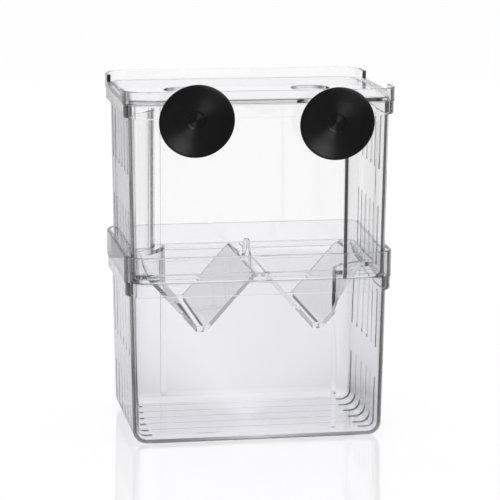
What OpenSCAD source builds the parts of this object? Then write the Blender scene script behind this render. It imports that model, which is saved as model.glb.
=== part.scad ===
// Two-tier breeding box for fish: a lower nursery box, an upper box that stacks on it,
// an insert with two V channels that lets the fry drop through, a lid and two suction cups.
// Units are millimetres. The base stands on Z = 0, and the suction cups face -Y.
// Every level of both boxes shares the same four corner centres, so a "reach" below
// is a distance outward from those centres, the same in X and in Y.

/* [Boxes] */
// Outer width at the floor
box_width = 120; // [100:0.5:180]
// Outer depth at the floor
box_depth = 82.6; // [74:0.2:130]
// Plan radius of the corners at the floor
corner_radius = 7; // [6.6:0.1:10]
// Thickness of the walls
wall = 1.8; // [1.4:0.1:2.2]
// Radial step between the two bands of each collar
band_step = 0.5; // [0.2:0.1:1.2]
// Height of the lower band of each collar
band_height = 6.1; // [3:0.1:10]

/* [Lower box] */
// Height of the seat, where the upper box stands
seat_height = 78.5; // [60:0.5:110]
// Height of the collar above the seat
collar_height = 12.5; // [6:0.5:20]
// Thickness of the floor
floor_thickness = 1.8; // [1.2:0.1:3]
// Outer radius of the rounded bottom edge
bottom_round = 6.5; // [3:0.1:6.6]
// How far each lower wall leans outward up to its collar
lower_draft = 1.3; // [0.4:0.05:2.5]
// Gap between the collar and the foot of the upper box
collar_gap = 1.55; // [0.8:0.05:3]

/* [Upper box] */
// Width of the upper box's foot that rests on the seat
foot_seat = 0.9; // [0.6:0.1:1.4]
// Height of the lid seat above the foot
lid_seat_rise = 83.7; // [65:0.1:120]
// Height of the rim above the lid seat
rim_rise = 6.2; // [4.5:0.1:10]
// How far each upper wall leans outward up to its collar
upper_draft = 1.15; // [0.4:0.05:2.5]
// How far the collar stands out from the wall
collar_overhang = 2.7; // [2.2:0.05:4]
// Width of the inward lip that carries the insert
lip_width = 2; // [1.2:0.1:3]
// Thickness of the inward lip
lip_thickness = 1.5; // [1:0.1:3]
// Depth of the cut in each end of the rim
rim_cut_depth = 3.7; // [1:0.1:4]
// Distance from the corner centres to the cut in the rim
rim_cut_margin = 7.3; // [2:0.1:14]

/* [Feed shafts] */
// Outer radius of the quarter-round shaft, struck from the corner of the box
shaft_radius = 19; // [14:0.5:21]
// Thickness of the shaft wall
shaft_wall = 1.6; // [1.2:0.1:2.5]
// How far the shaft stops below the lid seat
shaft_drop = 12.2; // [8:0.1:30]

/* [Slots and ribs] */
// Slots in each row
slot_count = 6; // [3:1:8]
// Width of a slot
slot_width = 1.4; // [0.8:0.1:2]
// Distance from the corner centres to the outermost slots
slot_margin = 6.05; // [2:0.05:10]
// How far the lowest slots run in from the wall along the floor
floor_slot_run = 10; // [8:0.5:16]
// Height of the top of the lowest slots above the floor's underside
low_slot_top = 27; // [15:0.5:35]
// Plain strip between the two rows of slots in the lower box
lower_strip = 14.5; // [6:0.5:25]
// Length of the slots in the first row of the upper box
upper_slot_length = 28.4; // [10:0.1:32]
// Plain strip between the two rows of slots in the upper box
upper_strip = 17.6; // [6:0.1:22]
// Distance between a row of slots and the band or lip next to it
slot_edge = 2; // [1:0.1:4]
// Width of the stiffening rib on the front and back walls
rib_width = 2.5; // [1.5:0.1:4]
// How far a rib stands in from the wall
rib_depth = 0.8; // [0.4:0.1:1.2]
// Distance from a shaft to the middle of the rib beside it
rib_distance = 4.2; // [3:0.1:10]

/* [Insert] */
// Gap between the insert and the walls of the upper box
insert_gap = 0.4; // [0.2:0.05:1]
// Depth of the channels below the lip
channel_depth = 26; // [15:0.5:40]
// Width of the flat underside of a channel
channel_foot = 4.7; // [4:0.1:8]
// Half width of the middle ridge, measured under the flange
ridge_half = 2.2; // [1.5:0.1:4]
// Width of the flat land along each end
end_land = 4.9; // [3:0.1:8]
// Width of the drop slot along the bottom of a channel
drop_slot = 3.1; // [2:0.1:3.5]
// Length of the bridges that close the drop slot at both ends
slot_bridge = 4.5; // [2:0.5:12]
// Thickness of the flange and of the channel bottoms
flange_thickness = 2; // [1.5:0.1:3]
// Thickness of the sloping plates, measured straight up
plate_rise = 2.7; // [2:0.1:3.5]
// Distance between a shaft and the pocket wall round it
pocket_gap = 3.4; // [1:0.1:6]
// Thickness of the pocket wall
pocket_wall = 1.6; // [1.2:0.1:2.5]
// Height of the lifting peg
peg_height = 9.2; // [5:0.1:15]
// Radius of the lifting peg at its foot
peg_radius = 2.5; // [1.5:0.1:2.7]

/* [Lid] */
// Thickness of the lid
lid_thickness = 1.7; // [1.2:0.1:2.2]
// Gap between the lid and the collar
lid_gap = 1; // [0.3:0.1:1.2]
// Radius of the feeding holes
feed_hole_radius = 9.25; // [5:0.25:14]
// Distance from the corner centres to the feeding holes
feed_hole_inset = 22.25; // [16:0.25:30]

/* [Suction cups] */
// Outer radius of a cup
cup_radius = 17.5; // [12:0.5:18]
// Distance from the inner corner of the box to a cup's axis
cup_inset = 26; // [24:0.1:27]
// How far the cup holes lie below the lid seat
cup_drop = 6; // [5:0.1:8]
// How far a cup's rim stands in front of the band
cup_standoff = 12; // [10:0.5:16]
// Depth of a cup's hollow
cup_hollow = 5.6; // [3:0.1:7]
// Thickness of a cup's skirt at its rim
cup_skin = 1.3; // [1:0.1:2]
// Radius of a cup's neck
neck_radius = 3.55; // [2.5:0.05:4.5]
// Radial gap between the neck and its hole
neck_gap = 0.05; // [0.01:0.01:0.1]
// Wall of the round pad about a cup's hole
pad_wall = 3.9; // [2:0.1:5]

/* [Hidden] */
$fn = 96;
// small overlap of pieces that are joined, and generous overlap of cuts
eps = 0.01;
over = 5;
cx = box_width / 2 - corner_radius;
cy = box_depth / 2 - corner_radius;
// the top of each band lies a little below the seat beside it
band_drop = 0.3;
band_top = seat_height - band_drop;
band_bottom = band_top - band_height;
lower_height = seat_height + collar_height;
lower_reach = corner_radius + lower_draft;
foot_reach = lower_reach - wall + foot_seat;
lower_collar_reach = foot_reach + collar_gap + wall;
foot_z = seat_height;
lip_top = foot_z + lip_thickness;
lid_z = foot_z + lid_seat_rise;
rim_z = lid_z + rim_rise;
upper_band_top = lid_z - band_drop;
upper_band_bottom = upper_band_top - band_height;
upper_reach = foot_reach + upper_draft;
upper_collar_reach = upper_reach + collar_overhang;
upper_band_reach = upper_collar_reach - band_step;
inner_reach = foot_reach - wall;
// the inner corners that the shafts and the pockets are struck from
corner_x = cx + inner_reach;
corner_y = cy + inner_reach;
shaft_height = lid_seat_rise - shaft_drop;
rib_offset = corner_x - shaft_radius - rib_distance;
slot_pitch = 2 * (cy - slot_margin) / (slot_count - 1);
insert_reach = inner_reach - insert_gap;
flange_top = lip_top + flange_thickness;
channel_bottom = lip_top - channel_depth;
channel_offset = (cx + insert_reach - end_land + ridge_half) / 2;
// the frame bars rest on the lip, and the sloping plates pass inside it
bar_width = 2.7;
lip_play = 0.4;
plate_end = cy + inner_reach - lip_width - lip_play;
pocket_radius = shaft_radius + pocket_gap + pocket_wall;
shaft_play = 0.5;
rib_play = 0.5;
feed_hole_offset = cx - feed_hole_inset;
cup_offset = corner_x - cup_inset;
cup_z = lid_z - cup_drop;
cup_hole_radius = neck_radius + neck_gap;
band_face = cy + upper_band_reach;
bore_length = upper_band_reach - upper_reach + wall;
pad_radius = cup_hole_radius + pad_wall;
cup_head_radius = neck_radius + 1.25;
// the rubber keeps this far from the faces that it grips
cup_play = 0.3;
// the upper ribs end below the heads of the suction cups
upper_rib_top = cup_z - cup_head_radius - rib_play;

// Points of a circular arc about (x, z), from angle a0 to angle a1.
function arc(x, z, r, a0, a1, steps = 10) =
    [for (i = [0:steps]) let (a = a0 + (a1 - a0) * i / steps) [x + r * cos(a), z + r * sin(a)]];

// A list of points mirrored in the vertical axis, in reverse order.
function mirrored(points) =
    [for (i = [len(points) - 1:-1:0]) [-points[i][0], points[i][1]]];

// Carries a profile round the plan. Its x is the reach and its y is the height.
module swept(profile) {
    for (turn = [0, 180]) {
        rotate(turn) {
            translate([cx, cy, 0])
                rotate_extrude(angle = 90) polygon(profile);
            translate([-cx, cy, 0])
                rotate(90) rotate_extrude(angle = 90) polygon(profile);
            translate([-cx, cy, 0])
                rotate([90, 0, 90]) linear_extrude(2 * cx) polygon(profile);
            translate([cx, cy, 0])
                rotate([90, 0, 0]) linear_extrude(2 * cy) polygon(profile);
        }
    }
}

// Fills the rectangle between the corner centres.
module core(low, high) {
    translate([-cx, -cy, low]) cube([2 * cx, 2 * cy, high - low]);
}

// A flat plate with the plan of the boxes.
module plate(reach, thickness) {
    swept([[0, 0], [reach, 0], [reach, thickness], [0, thickness]]);
    core(0, thickness);
}

// A row of slots through both ends, cut outward from x = start.
module slot_rows(start, low, high) {
    for (turn = [0, 180])
        for (i = [0:slot_count - 1])
            rotate(turn)
                translate([start, -cy + slot_margin + i * slot_pitch - slot_width / 2, low])
                    cube([cx + corner_radius + over - start, slot_width, high - low]);
}

// One rib on the back wall, and its twin turned half round on the front wall.
module ribs(face_reach, low, high) {
    for (turn = [0, 180])
        rotate(turn)
            translate([-rib_offset - rib_width / 2, cy + face_reach - rib_depth, low])
                cube([rib_width, rib_depth + wall, high - low]);
}

// Places its children at the front right and back left inner corners.
module shaft_corners() {
    for (turn = [0, 180])
        rotate(turn) translate([corner_x, -corner_y, 0]) children();
}

// Outer profile of the lower box, from the middle of the floor up to its rim.
function lower_outer() = concat(
    [[0, 0]],
    arc(corner_radius - bottom_round, bottom_round, bottom_round, -90, 0),
    [[lower_reach, band_bottom],
     [lower_collar_reach - band_step, band_bottom],
     [lower_collar_reach - band_step, band_top],
     [lower_collar_reach, band_top],
     [lower_collar_reach, lower_height]]);

// Inner profile of the lower box, from its rim down to the middle of the floor.
function lower_inner() = concat(
    [[lower_collar_reach - wall, lower_height],
     [lower_collar_reach - wall, seat_height],
     [lower_reach - wall, seat_height],
     [lower_reach - wall, band_bottom]],
    arc(corner_radius - bottom_round, bottom_round, bottom_round - wall, 0, -90),
    [[0, floor_thickness]]);

module lower_box() {
    upper_row = low_slot_top + lower_strip;
    color([0.86, 0.9, 0.93, 0.45])
        difference() {
            union() {
                swept(concat(lower_outer(), lower_inner()));
                core(0, floor_thickness);
                intersection() {
                    ribs(corner_radius - wall, 0, band_bottom);
                    swept(concat(lower_outer(), [[0, lower_height]]));
                }
            }
            slot_rows(cx + corner_radius - floor_slot_run, -over, low_slot_top);
            slot_rows(cx, upper_row, band_bottom - slot_edge);
        }
}

// Profile of the upper box's wall, from the lip round the outside to the rim and back.
function upper_wall() = [
    [inner_reach - lip_width, foot_z],
    [foot_reach, foot_z],
    [upper_reach, upper_band_bottom],
    [upper_band_reach, upper_band_bottom],
    [upper_band_reach, upper_band_top],
    [upper_collar_reach, upper_band_top],
    [upper_collar_reach, rim_z],
    [upper_collar_reach - wall, rim_z],
    [upper_collar_reach - wall, lid_z],
    [upper_reach - wall, lid_z],
    [upper_reach - wall, upper_band_bottom],
    [inner_reach, lip_top],
    [inner_reach - lip_width, lip_top]];

// The space that the upper box's walls bound, walls included.
module upper_block() {
    swept([[0, foot_z], [foot_reach, foot_z], [upper_reach, upper_band_bottom],
           [upper_reach, lid_z], [0, lid_z]]);
    core(foot_z, lid_z);
}

module upper_box() {
    first_row = lip_top + slot_edge;
    second_row = first_row + upper_slot_length + upper_strip;
    color([0.9, 0.93, 0.96, 0.4])
        difference() {
            union() {
                swept(upper_wall());
                intersection() {
                    upper_block();
                    union() {
                        ribs(inner_reach, foot_z, upper_rib_top);
                        shaft_corners() translate([0, 0, foot_z]) shaft_tube();
                    }
                }
                cup_pads();
            }
            slot_rows(cx, first_row, first_row + upper_slot_length);
            slot_rows(cx, second_row, upper_band_bottom - slot_edge);
            rim_cuts();
            cup_holes();
        }
}

// The wall of a feed shaft, a ring that the block cuts down to a quarter.
module shaft_tube() {
    difference() {
        cylinder(r = shaft_radius, h = shaft_height);
        translate([0, 0, -over])
            cylinder(r = shaft_radius - shaft_wall, h = shaft_height + 2 * over);
    }
}

// Straight cuts that lower the rim at both ends, to lift the lid by.
module rim_cuts() {
    length = 2 * (cy - rim_cut_margin);
    for (turn = [0, 180])
        rotate(turn)
            translate([cx, -length / 2, rim_z - rim_cut_depth])
                cube([upper_collar_reach + over, length, rim_cut_depth + over]);
}

// Round pads that the cup holes pass through, flush with the band and cut off at its top.
module cup_pads() {
    difference() {
        for (side = [-1, 1])
            translate([side * cup_offset, -band_face, cup_z])
                rotate([-90, 0, 0]) cylinder(r = pad_radius, h = bore_length);
        translate([-cx, -band_face - over, upper_band_top])
            cube([2 * cx, bore_length + 2 * over, pad_radius]);
    }
}

module cup_holes() {
    for (side = [-1, 1])
        translate([side * cup_offset, -band_face - over, cup_z])
            rotate([-90, 0, 0]) cylinder(r = cup_hole_radius, h = bore_length + 2 * over);
}

// The under side of the insert's right half, from the end inward.
function insert_under() = [
    [cx + insert_reach, lip_top],
    [2 * channel_offset - ridge_half, lip_top],
    [channel_offset + channel_foot / 2, channel_bottom],
    [channel_offset - channel_foot / 2, channel_bottom],
    [ridge_half, lip_top]];

// The upper side of the insert's right half, from the ridge outward.
function insert_upper() = let (
        lean = (channel_offset - channel_foot / 2 - ridge_half) / channel_depth,
        ridge_edge = ridge_half + (plate_rise - flange_thickness) * lean)
    [[ridge_edge, flange_top],
     [channel_offset - drop_slot / 2, channel_bottom + flange_thickness],
     [channel_offset + drop_slot / 2, channel_bottom + flange_thickness],
     [2 * channel_offset - ridge_edge, flange_top],
     [cx + insert_reach, flange_top]];

// Extrudes a cross-section along Y, centred.
module along_y(length) {
    translate([0, length / 2, 0])
        rotate([90, 0, 0]) linear_extrude(length) children();
}

// The two V channels, the middle ridge and the lands at both ends, with rounded corners.
module channel_plates() {
    intersection() {
        along_y(2 * plate_end)
            polygon(concat(mirrored(insert_upper()), insert_upper(),
                           insert_under(), mirrored(insert_under())));
        translate([0, 0, channel_bottom]) plate(insert_reach, flange_top - channel_bottom);
    }
}

// A bar round the edge, which rests on the lip of the upper box.
module edge_frame() {
    translate([0, 0, lip_top])
        swept([[insert_reach - bar_width, 0], [insert_reach, 0],
               [insert_reach, flange_thickness], [insert_reach - bar_width, flange_thickness]]);
}

module drop_slots() {
    length = 2 * (plate_end - slot_bridge);
    for (side = [-1, 1])
        translate([side * channel_offset - drop_slot / 2, -length / 2, channel_bottom - over])
            cube([drop_slot, length, flange_thickness + 2 * over]);
}

// Walls that close the channels round the shafts, and flat rings above them.
module shaft_pockets() {
    height = flange_top - channel_bottom;
    difference() {
        intersection() {
            shaft_corners()
                translate([0, 0, channel_bottom]) cylinder(r = pocket_radius, h = height);
            union() {
                along_y(2 * plate_end)
                    polygon(concat([[-cx - insert_reach, flange_top], [cx + insert_reach, flange_top]],
                                   insert_under(), mirrored(insert_under())));
                translate([0, 0, lip_top]) plate(insert_reach, flange_thickness);
            }
        }
        shaft_corners() {
            translate([0, 0, channel_bottom - over])
                cylinder(r = shaft_radius + shaft_play, h = height + 2 * over);
            translate([0, 0, channel_bottom - over])
                cylinder(r = pocket_radius - pocket_wall, h = channel_depth + over);
        }
    }
}

// Notches that let the frame pass the ribs of the upper box.
module rib_notches() {
    for (turn = [0, 180])
        rotate(turn)
            translate([-rib_offset - rib_width / 2 - rib_play,
                       cy + inner_reach - rib_depth - rib_play, lip_top - over])
                cube([rib_width + 2 * rib_play, over, flange_thickness + 2 * over]);
}

// A tapered peg with a rounded top, to lift the insert out by.
module lifting_peg() {
    tip = peg_radius / 2;
    translate([0, 0, flange_top - eps]) {
        cylinder(r1 = peg_radius, r2 = tip, h = peg_height - tip);
        translate([0, 0, peg_height - tip]) sphere(r = tip);
    }
}

module insert() {
    color([0.8, 0.86, 0.9, 0.5]) {
        difference() {
            union() {
                difference() {
                    union() {
                        channel_plates();
                        edge_frame();
                    }
                    shaft_corners()
                        translate([0, 0, channel_bottom - over])
                            cylinder(r = pocket_radius - pocket_wall, h = channel_depth + flange_thickness + 2 * over);
                    drop_slots();
                }
                shaft_pockets();
            }
            rib_notches();
        }
        lifting_peg();
    }
}

module lid() {
    color([0.88, 0.92, 0.95, 0.45])
        translate([0, 0, lid_z])
            difference() {
                plate(upper_collar_reach - wall - lid_gap, lid_thickness);
                for (side = [-1, 1])
                    translate([side * feed_hole_offset, 0, -over])
                        cylinder(r = feed_hole_radius, h = lid_thickness + 2 * over);
            }
}

// Profile of a cup. Its y runs forward from the face of the band.
function cup_profile() = let (
        head_front = -bore_length - cup_play,
        head_bevel = 1.4,
        head_thickness = 2.4,
        shoulder_radius = neck_radius + 1.65,
        skirt_start = cup_standoff - cup_hollow - cup_skin - 0.9,
        rim_bevel = 0.6,
        hub_radius = neck_radius + 0.35)
    [[0, head_front - head_thickness],
     [cup_head_radius - head_bevel, head_front - head_thickness],
     [cup_head_radius, head_front - head_thickness + head_bevel],
     [cup_head_radius, head_front],
     [neck_radius, head_front],
     [neck_radius, cup_play],
     [shoulder_radius, cup_play],
     [shoulder_radius, skirt_start - head_bevel],
     [shoulder_radius + head_bevel, skirt_start],
     [cup_radius - rim_bevel, cup_standoff - cup_skin],
     [cup_radius, cup_standoff - rim_bevel],
     [cup_radius, cup_standoff],
     [cup_radius - rim_bevel, cup_standoff],
     [cup_radius - cup_skin, cup_standoff - rim_bevel],
     [hub_radius, cup_standoff - cup_hollow],
     [0, cup_standoff - cup_hollow]];

// A suction cup of black rubber, with its neck through the hole on the given side.
module suction_cup(side) {
    color([0.08, 0.08, 0.09])
        translate([side * cup_offset, -band_face, cup_z])
            rotate([90, 0, 0]) rotate_extrude() polygon(cup_profile());
}

module suction_cup_left() {
    suction_cup(-1);
}

module suction_cup_right() {
    suction_cup(1);
}

lower_box();
upper_box();
insert();
lid();
suction_cup_left();
suction_cup_right();
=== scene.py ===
"""Two-tier breeding box for fish, dressed for its studio picture.

Two clear boxes stand one in the other. The upper one holds an insert with two V channels,
takes a flat lid with two feeding holes, and carries two black suction cups on its front.
Every length is in metres, and the base stands on Z = 0 with the suction cups facing -Y.
A size named reach runs outward from the four corner centres that both boxes share, one named
place runs from the middle along X, and foot, seat, flange and top are heights.
"""

import logging
import math
from dataclasses import dataclass
from enum import Enum
from typing import Callable, Sequence

import bmesh
import bpy
from mathutils import Matrix, Vector


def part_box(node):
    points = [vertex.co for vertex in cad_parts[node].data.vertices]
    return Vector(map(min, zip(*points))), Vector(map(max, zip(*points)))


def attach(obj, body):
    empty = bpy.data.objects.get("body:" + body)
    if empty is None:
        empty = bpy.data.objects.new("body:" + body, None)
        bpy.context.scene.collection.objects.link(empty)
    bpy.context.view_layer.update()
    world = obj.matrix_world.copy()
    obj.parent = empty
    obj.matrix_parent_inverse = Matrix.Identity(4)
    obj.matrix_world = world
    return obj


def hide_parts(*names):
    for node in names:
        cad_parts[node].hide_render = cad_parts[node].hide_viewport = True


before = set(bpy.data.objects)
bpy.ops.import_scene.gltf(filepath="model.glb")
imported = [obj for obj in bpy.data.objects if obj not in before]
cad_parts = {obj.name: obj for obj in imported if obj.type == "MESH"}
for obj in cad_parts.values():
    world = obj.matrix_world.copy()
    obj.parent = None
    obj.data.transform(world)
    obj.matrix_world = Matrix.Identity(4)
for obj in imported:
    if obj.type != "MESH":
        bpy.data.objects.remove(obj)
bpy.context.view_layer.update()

LOG = logging.getLogger("breeding_box")
MM = 0.001
WELD = 0.002 * MM
ROUND_STEPS = 72
X_AXIS, Y_AXIS, Z_AXIS = Vector((1, 0, 0)), Vector((0, 1, 0)), Vector((0, 0, 1))
SIDES = (-1, 1)

Solid, Material = bpy.types.Object, bpy.types.Material
Socket = bpy.types.NodeSocket
Triple = tuple[float, float, float]
Pair = tuple[float, float]
Pairs = tuple[Pair, ...]
EdgeTest = Callable[[Vector, Vector], bool]


class Join(Enum):
    """How one solid is combined with another."""

    ADD = "UNION"
    CUT = "DIFFERENCE"
    KEEP = "INTERSECT"


# ---- modelling tools


@dataclass(frozen=True)
class Corner:
    """A corner of a drawn outline, in the outline's own plane.

    Attributes:
        out: Distance along the plane's first direction.
        up: Distance along the plane's second direction.
        radius: Radius of the rounding, or 0 for a sharp corner.
        steps: Number of edges that the rounding is made of.
    """

    out: float
    up: float
    radius: float = 0.0
    steps: int = 3

    def point(self) -> Vector:
        """Returns the corner as a flat vector."""
        return Vector((self.out, self.up))


def slab(reach: float, low: float, high: float, turn: float = 0.0, steps: int = 3) -> list[Corner]:
    """Returns the section of a flat plate or a straight bar, from its middle out and back."""
    rim = [Corner(reach, height, turn, steps) for height in (low, high)]
    return [Corner(0, low), *rim, Corner(0, high)]


def deselect_objects() -> None:
    """Leaves no object selected, so that the next operator acts on its own piece alone."""
    if bpy.context.object is not None and bpy.context.object.mode != "OBJECT":
        leave_mesh()
    bpy.ops.object.select_all(action="DESELECT")


def activate(piece: Solid) -> None:
    """Makes one piece the only selected and the active object.

    Args:
        piece: The piece.
    """
    deselect_objects()
    piece.select_set(True)
    bpy.context.view_layer.objects.active = piece


def settle(name: str) -> Solid:
    """Names the object just added and moves its place and size into its mesh.

    Args:
        name: Its name.

    Returns:
        The object.
    """
    piece = bpy.context.object
    piece.name = name
    activate(piece)
    bpy.ops.object.transform_apply(location=True, rotation=True, scale=True)
    return piece


def enter_mesh(piece: Solid) -> None:
    """Opens a piece in edit mode, with all of it selected.

    Args:
        piece: The piece.
    """
    activate(piece)
    bpy.ops.object.mode_set(mode="EDIT")
    bpy.ops.mesh.select_all(action="SELECT")


def leave_mesh() -> None:
    """Leaves edit mode."""
    bpy.ops.object.mode_set(mode="OBJECT")


def extend(step: Vector) -> None:
    """Extrudes what is selected in edit mode along a straight step."""
    bpy.ops.mesh.extrude_region_move(TRANSFORM_OT_translate={"value": step})


def weld() -> None:
    """Selects the whole mesh in edit mode and merges its doubles."""
    bpy.ops.mesh.select_all(action="SELECT")
    bpy.ops.mesh.remove_doubles(threshold=WELD)


def close_mesh() -> None:
    """Welds the mesh in edit mode, turns its faces outward and leaves edit mode."""
    weld()
    bpy.ops.mesh.normals_make_consistent(inside=False)
    leave_mesh()


def pick(piece: Solid, test: EdgeTest) -> None:
    """Selects edges of a piece.

    Args:
        piece: The piece, which is in edit mode.
        test: Says, from both ends of an edge, if it is picked.
    """
    bpy.ops.mesh.select_mode(type="EDGE")
    bpy.ops.mesh.select_all(action="DESELECT")
    mesh = bmesh.from_edit_mesh(piece.data)
    for edge in [edge for edge in mesh.edges if test(edge.verts[0].co, edge.verts[1].co)]:
        edge.select_set(True)
    bmesh.update_edit_mesh(piece.data)


def round_edges(piece: Solid, test: EdgeTest, turn: float, segments: int) -> None:
    """Rounds some edges of a piece.

    Args:
        piece: The piece.
        test: Says, from both ends of an edge, if it is rounded.
        turn: Size of the rounding.
        segments: Number of faces that the rounding is made of.
    """
    enter_mesh(piece)
    pick(piece, test)
    bpy.ops.mesh.bevel(offset=turn, segments=segments, affect="EDGES")
    leave_mesh()


def combine(piece: Solid, how: Join, *others: Solid) -> None:
    """Combines a piece with other solids in turn, which are used up.

    Args:
        piece: The piece that keeps the result.
        how: Whether they are added, cut away or intersected.
        others: The other solids.
    """
    for other in others:
        activate(piece)
        modifier = piece.modifiers.new("combine", "BOOLEAN")
        modifier.operation = how.value
        modifier.solver = "EXACT"
        modifier.object = other
        bpy.ops.object.modifier_apply(modifier=modifier.name)
        bpy.data.objects.remove(other, do_unlink=True)


def smooth(piece: Solid, angle: float) -> None:
    """Shades rounds smoothly and keeps flat faces flat.

    Args:
        piece: The piece to shade.
        angle: Edges sharper than this, in degrees, stay sharp.
    """
    activate(piece)
    bpy.ops.object.shade_smooth_by_angle(angle=math.radians(angle))
    modifier = piece.modifiers.new("weighted", "WEIGHTED_NORMAL")
    modifier.keep_sharp = True
    modifier.weight = 100
    bpy.ops.object.modifier_apply(modifier=modifier.name)


@dataclass(frozen=True)
class Pen:
    """Draws outlines in one plane, as extrusions and turns of a single vertex.

    Attributes:
        origin: Where the outline's zero lies.
        out: Unit vector of the plane's first direction.
        up: Unit vector of the plane's second direction.
    """

    origin: Vector
    out: Vector
    up: Vector

    def place(self, flat: Vector) -> Vector:
        """Returns where a flat point lies in space."""
        return self.origin + self.out * flat.x + self.up * flat.y

    def begin(self, name: str, flat: Vector) -> Solid:
        """Adds a mesh of one vertex and stays in its edit mode.

        Args:
            name: Name of the new piece.
            flat: Where the vertex lies, in the plane.

        Returns:
            The new piece.
        """
        deselect_objects()
        bpy.ops.mesh.primitive_plane_add(size=MM, location=self.place(flat))
        piece = settle(name)
        enter_mesh(piece)
        bpy.ops.mesh.select_mode(type="VERT")
        bpy.ops.mesh.merge(type="CENTER")
        return piece

    def line(self, start: Vector, end: Vector) -> None:
        """Extrudes the vertex at the start along a straight edge to the end."""
        if (end - start).length > WELD:
            extend(self.place(end) - self.place(start))

    def arc(self, centre: Vector, angle: float, steps: int) -> None:
        """Turns the vertex about a centre, by an angle in radians from out towards up."""
        bpy.ops.mesh.spin(
            steps=steps, angle=-angle, center=self.place(centre), axis=self.out.cross(self.up)
        )

    def draw(self, name: str, corners: Sequence[Corner], closed: bool) -> Solid:
        """Draws an outline with rounded corners and stays in edit mode.

        Args:
            name: Name of the new piece.
            corners: The corners in order. The ends of an open outline aren't rounded.
            closed: Whether the last corner runs back to the first.

        Returns:
            The new piece, a chain of edges.
        """
        points = [corner.point() for corner in corners]
        start = (points[0] + points[-1]) / 2 if closed else points[0]
        piece = self.begin(name, start)
        here = start
        inner = range(len(corners)) if closed else range(1, len(corners) - 1)
        for index in inner:
            before = start if index == 0 else points[index - 1]
            after = start if index == len(points) - 1 else points[index + 1]
            here = self.round_corner(here, before, corners[index], after)
        self.line(here, start if closed else points[-1])
        return piece

    def round_corner(self, here: Vector, before: Vector, corner: Corner, after: Vector) -> Vector:
        """Draws up to a corner and round it.

        Args:
            here: Where the drawn chain ends.
            before: The corner before this one.
            corner: This corner.
            after: The corner after this one.

        Returns:
            Where the chain ends now.
        """
        point = corner.point()
        back, ahead = (before - point).normalized(), (after - point).normalized()
        half = back.angle(ahead) / 2
        if corner.radius <= 0:
            self.line(here, point)
            return point
        reach = corner.radius / math.tan(half)
        self.line(here, point + back * reach)
        centre = point + (back + ahead).normalized() * (corner.radius / math.sin(half))
        side = math.copysign(1, back.cross(ahead))
        self.arc(centre, -side * (math.pi - 2 * half), corner.steps)
        return point + ahead * reach


def block(name: str, low: Vector, high: Vector) -> Solid:
    """Adds a straight block, as a tool to cut or keep with.

    Args:
        name: Name of the new piece.
        low: Its lowest corner.
        high: Its highest corner.

    Returns:
        The new solid.
    """
    deselect_objects()
    bpy.ops.mesh.primitive_cube_add(size=1, location=(low + high) / 2, scale=high - low)
    return settle(name)


def prism(name: str, pen: Pen, corners: Sequence[Corner], run: Vector) -> Solid:
    """Draws a closed outline, fills it and extrudes it along a straight run.

    Args:
        name: Name of the new piece.
        pen: The plane that the outline lies in.
        corners: The outline's corners.
        run: How far and which way it is extruded.

    Returns:
        The new solid.
    """
    piece = pen.draw(name, corners, closed=True)
    weld()
    bpy.ops.mesh.edge_face_add()
    extend(run)
    close_mesh()
    return piece


def lathe(name: str, pen: Pen, corners: Sequence[Corner], steps: int) -> Solid:
    """Turns an outline fully round the pen's up axis.

    Args:
        name: Name of the new piece.
        pen: The plane that the outline lies in.
        corners: The outline, which starts and ends on the axis.
        steps: Edges in the full turn.

    Returns:
        The new solid.
    """
    piece = pen.draw(name, corners, closed=False)
    bpy.ops.mesh.select_all(action="SELECT")
    bpy.ops.mesh.spin(steps=steps, angle=-2 * math.pi, center=pen.origin, axis=pen.up)
    close_mesh()
    return piece


def drum(name: str, centre: Vector, axis: Vector, radius: float, length: float) -> Solid:
    """Adds a round bar, as a tool to cut or add with.

    Args:
        name: Name of the new piece.
        centre: Its middle.
        axis: Unit vector along it.
        radius: Its radius.
        length: Its length, half on each side of its middle.

    Returns:
        The new solid.
    """
    pen = Pen(centre, axis.orthogonal().normalized(), axis)
    return lathe(name, pen, slab(radius, -length / 2, length / 2), ROUND_STEPS)


def half_turned(piece: Solid) -> Solid:
    """Adds, to the same mesh, a copy turned half round the middle of the box.

    Args:
        piece: The piece.

    Returns:
        The same piece, which is now a pair.
    """
    enter_mesh(piece)
    bpy.ops.mesh.duplicate()
    bpy.ops.transform.rotate(value=math.pi, orient_axis="Z", center_override=(0, 0, 0))
    leave_mesh()
    return piece


def soften_rib(piece: Solid, turn: float) -> Solid:
    """Rounds the two long edges that an upright rib shows to the inside of the box.

    Args:
        piece: The rib, whose inner side is the one nearest to Y = 0.
        turn: Size of the rounding.

    Returns:
        The same rib.
    """
    inner = min(abs(vertex.co.y) for vertex in piece.data.vertices)

    def shown(start: Vector, end: Vector) -> bool:
        """Says if an edge runs upward on the inner side."""
        return abs(start.z - end.z) > WELD and min(abs(start.y), abs(end.y)) < inner + WELD

    round_edges(piece, shown, turn, segments=4)
    return piece


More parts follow.
